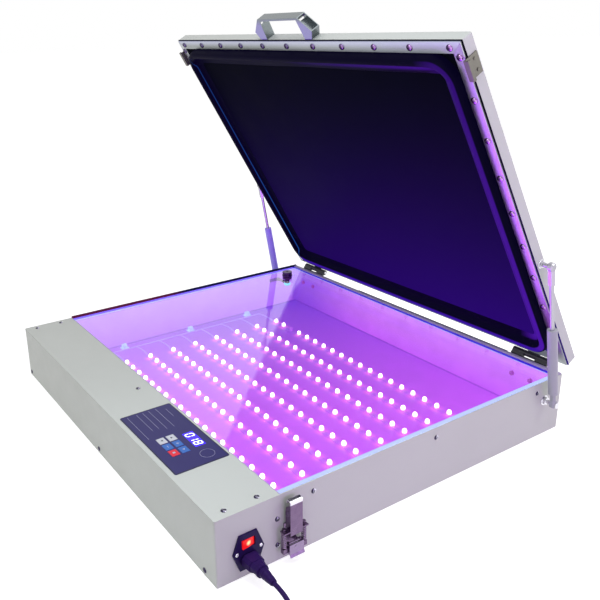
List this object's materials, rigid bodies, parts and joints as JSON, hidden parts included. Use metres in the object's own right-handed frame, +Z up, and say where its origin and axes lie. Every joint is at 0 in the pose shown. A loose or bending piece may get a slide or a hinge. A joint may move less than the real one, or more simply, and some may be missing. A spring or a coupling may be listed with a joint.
{
  "type": "screen printing exposure unit",
  "caption": "Tabletop exposure unit for screens: a flat lamp box under a glass bed, a hinged vacuum lid with a rubber blanket, side latches, gas struts and a front control panel.",
  "frame": {"origin": "centre of the base's underside", "axes": "+X to the operator's right, +Y from the front controls to the hinge, +Z up"},
  "size_m": [1.1048, 0.8682, 0.7758],
  "materials": {
    "case_paint": "smooth powder coat, very pale grey",
    "lid_paint": "smooth powder coat, very pale grey",
    "liner_paint": "satin white inside paint",
    "bed_glass": "polished plate glass",
    "foam": "closed-cell foam strip",
    "lamp_board": "white lamp strip",
    "wire": "insulated wire",
    "clip_plastic": "pale blue moulded clip",
    "port_metal": "dark polished metal",
    "hose": "soft tube",
    "pump_body": "cast body",
    "supply_case": "perforated cage",
    "board": "green circuit board",
    "display": "dark window over lit digits",
    "panel_print": "printed overlay, indigo",
    "key_white": "moulded key",
    "key_blue": "moulded key",
    "key_red": "moulded key",
    "inlet_plastic": "dark moulded plastic",
    "rocker_lens": "lit red lens",
    "small_screw": "plated screw heads",
    "cord_rubber": "moulded black cord",
    "hinge_steel": "black painted steel",
    "bright_steel": "plated steel",
    "lid_rubber": "smooth black sheet",
    "bead_rubber": "moulded black bead",
    "strip_aluminium": "extruded flat strip",
    "strip_screw": "domed cross-head screws",
    "handle_aluminium": "satin aluminium",
    "keeper_nickel": "dull nickel plate",
    "strut_tube": "grey metal tube",
    "strut_chrome": "polished rod",
    "latch_chrome": "bright plated pressing",
    "latch_spring": "plated spring wire"
  },
  "bodies": {
    "base": {"bottom_plate": "case_paint", "bulkhead": "case_paint", "cable_clips": "clip_plastic", "case_screws": "small_screw", "chamber_liner": "liner_paint", "control_board": "board", "control_cover": "case_paint", "control_panel": "panel_print", "cord_coil": "cord_rubber", "cord_lead": "cord_rubber", "cord_tail": "cord_rubber", "display_module": "display", "glass_gasket": "foam", "glass_plate": "bed_glass", "hinge_base_leaves": "hinge_steel", "hinge_bolts": "bright_steel", "hinge_pins": "bright_steel", "housing": "case_paint", "inlet_body": "inlet_plastic", "inlet_screws": "small_screw", "latch_plates": "latch_chrome", "led_bars": "lamp_board", "led_wiring": "wire", "mains_plug": "cord_rubber", "power_connector": "cord_rubber", "power_supply": "supply_case", "strut_base_studs": "bright_steel", "vacuum_hose": "hose", "vacuum_port": "port_metal", "vacuum_port_nut": "port_metal", "vacuum_pump": "pump_body"},
    "lid": {"lid_pan": "lid_paint", "rubber_blanket": "lid_rubber", "seal_ring": "bead_rubber", "clamp_strip_front": "strip_aluminium", "clamp_strip_back": "strip_aluminium", "clamp_strip_left": "strip_aluminium", "clamp_strip_right": "strip_aluminium", "clamp_screws": "strip_screw", "handle": "handle_aluminium", "lid_keepers": "keeper_nickel", "hinge_lid_leaves": "hinge_steel", "strut_lid_feet": "bright_steel"},
    "rocker": {"rocker_switch": "rocker_lens"},
    "key_1": {"key_1": "key_white"},
    "key_2": {"key_2": "key_white"},
    "key_3": {"key_3": "key_blue"},
    "key_4": {"key_4": "key_blue"},
    "key_5": {"key_5": "key_red"},
    "key_6": {"key_6": "key_blue"},
    "strut_cylinder_right": {"strut_cylinder_right": "strut_tube"},
    "strut_rod_right": {"strut_rod_right": "strut_chrome"},
    "latch_lever_right": {"latch_lever_right": "latch_chrome"},
    "latch_claw_right": {"latch_claw_right": "latch_chrome", "latch_springs_right": "latch_spring"},
    "strut_cylinder_left": {"strut_cylinder_left": "strut_tube"},
    "strut_rod_left": {"strut_rod_left": "strut_chrome"},
    "latch_lever_left": {"latch_lever_left": "latch_chrome"},
    "latch_claw_left": {"latch_claw_left": "latch_chrome", "latch_springs_left": "latch_spring"}
  },
  "joints": [
    {"name": "lid_hinge", "type": "hinge", "parent": "base", "child": "lid", "pos_m": [0, 0.395, 0.1197], "axis": [1, 0, 0], "range_deg": [0, 59.48], "stiffness_Nm_per_rad": 13.5, "springref_deg": -93.39},
    {"name": "strut_tilt_right", "type": "hinge", "parent": "base", "child": "strut_cylinder_right", "pos_m": [0.445, 0.335, 0.073], "axis": [1, 0, 0], "range_deg": [0, 60.38]},
    {"name": "strut_slide_right", "type": "slide", "parent": "strut_cylinder_right", "child": "strut_rod_right", "axis": [0, -0.1841, 0.9829], "range_m": [-0.07536, 0]},
    {"name": "strut_tilt_left", "type": "hinge", "parent": "base", "child": "strut_cylinder_left", "pos_m": [-0.445, 0.335, 0.073], "axis": [1, 0, 0], "range_deg": [0, 60.38]},
    {"name": "strut_slide_left", "type": "slide", "parent": "strut_cylinder_left", "child": "strut_rod_left", "axis": [0, -0.1841, 0.9829], "range_m": [-0.07536, 0]},
    {"name": "latch_lever_right", "type": "hinge", "parent": "base", "child": "latch_lever_right", "pos_m": [0.437, -0.258, 0.031], "axis": [0, -1, 0], "range_deg": [0, 150]},
    {"name": "latch_claw_right", "type": "hinge", "parent": "latch_lever_right", "child": "latch_claw_right", "pos_m": [0.436, -0.258, 0.022], "axis": [0, -1, 0], "range_deg": [-150, 0]},
    {"name": "latch_lever_left", "type": "hinge", "parent": "base", "child": "latch_lever_left", "pos_m": [-0.437, -0.258, 0.031], "axis": [0, 1, 0], "range_deg": [0, 150]},
    {"name": "latch_claw_left", "type": "hinge", "parent": "latch_lever_left", "child": "latch_claw_left", "pos_m": [-0.436, -0.258, 0.022], "axis": [0, 1, 0], "range_deg": [-150, 0]},
    {"name": "rocker_tilt", "type": "hinge", "parent": "base", "child": "rocker", "pos_m": [0.4255, -0.332, 0.057], "axis": [0, 0, -1], "range_deg": [0, 10]},
    {"name": "key_1_press", "type": "slide", "parent": "base", "child": "key_1", "axis": [0, 0, -1], "range_m": [0, 0.0005], "stiffness_N_per_m": 400, "springref_m": -0.0005},
    {"name": "key_2_press", "type": "slide", "parent": "base", "child": "key_2", "axis": [0, 0, -1], "range_m": [0, 0.0005], "stiffness_N_per_m": 400, "springref_m": -0.0005},
    {"name": "key_3_press", "type": "slide", "parent": "base", "child": "key_3", "axis": [0, 0, -1], "range_m": [0, 0.0005], "stiffness_N_per_m": 400, "springref_m": -0.0005},
    {"name": "key_4_press", "type": "slide", "parent": "base", "child": "key_4", "axis": [0, 0, -1], "range_m": [0, 0.0005], "stiffness_N_per_m": 400, "springref_m": -0.0005},
    {"name": "key_5_press", "type": "slide", "parent": "base", "child": "key_5", "axis": [0, 0, -1], "range_m": [0, 0.0005], "stiffness_N_per_m": 400, "springref_m": -0.0005},
    {"name": "key_6_press", "type": "slide", "parent": "base", "child": "key_6", "axis": [0, 0, -1], "range_m": [0, 0.0005], "stiffness_N_per_m": 400, "springref_m": -0.0005}
  ],
  "couplings": [
    {"joint": "strut_tilt_right", "follows": "lid_hinge", "ratio": 1.0149},
    {"joint": "strut_slide_right", "follows": "lid_hinge", "m_per_rad": -0.072573},
    {"joint": "strut_tilt_left", "follows": "lid_hinge", "ratio": 1.0149},
    {"joint": "strut_slide_left", "follows": "lid_hinge", "m_per_rad": -0.072573},
    {"joint": "latch_claw_right", "follows": "latch_lever_right", "ratio": -1},
    {"joint": "latch_claw_left", "follows": "latch_lever_left", "ratio": -1}
  ]
}
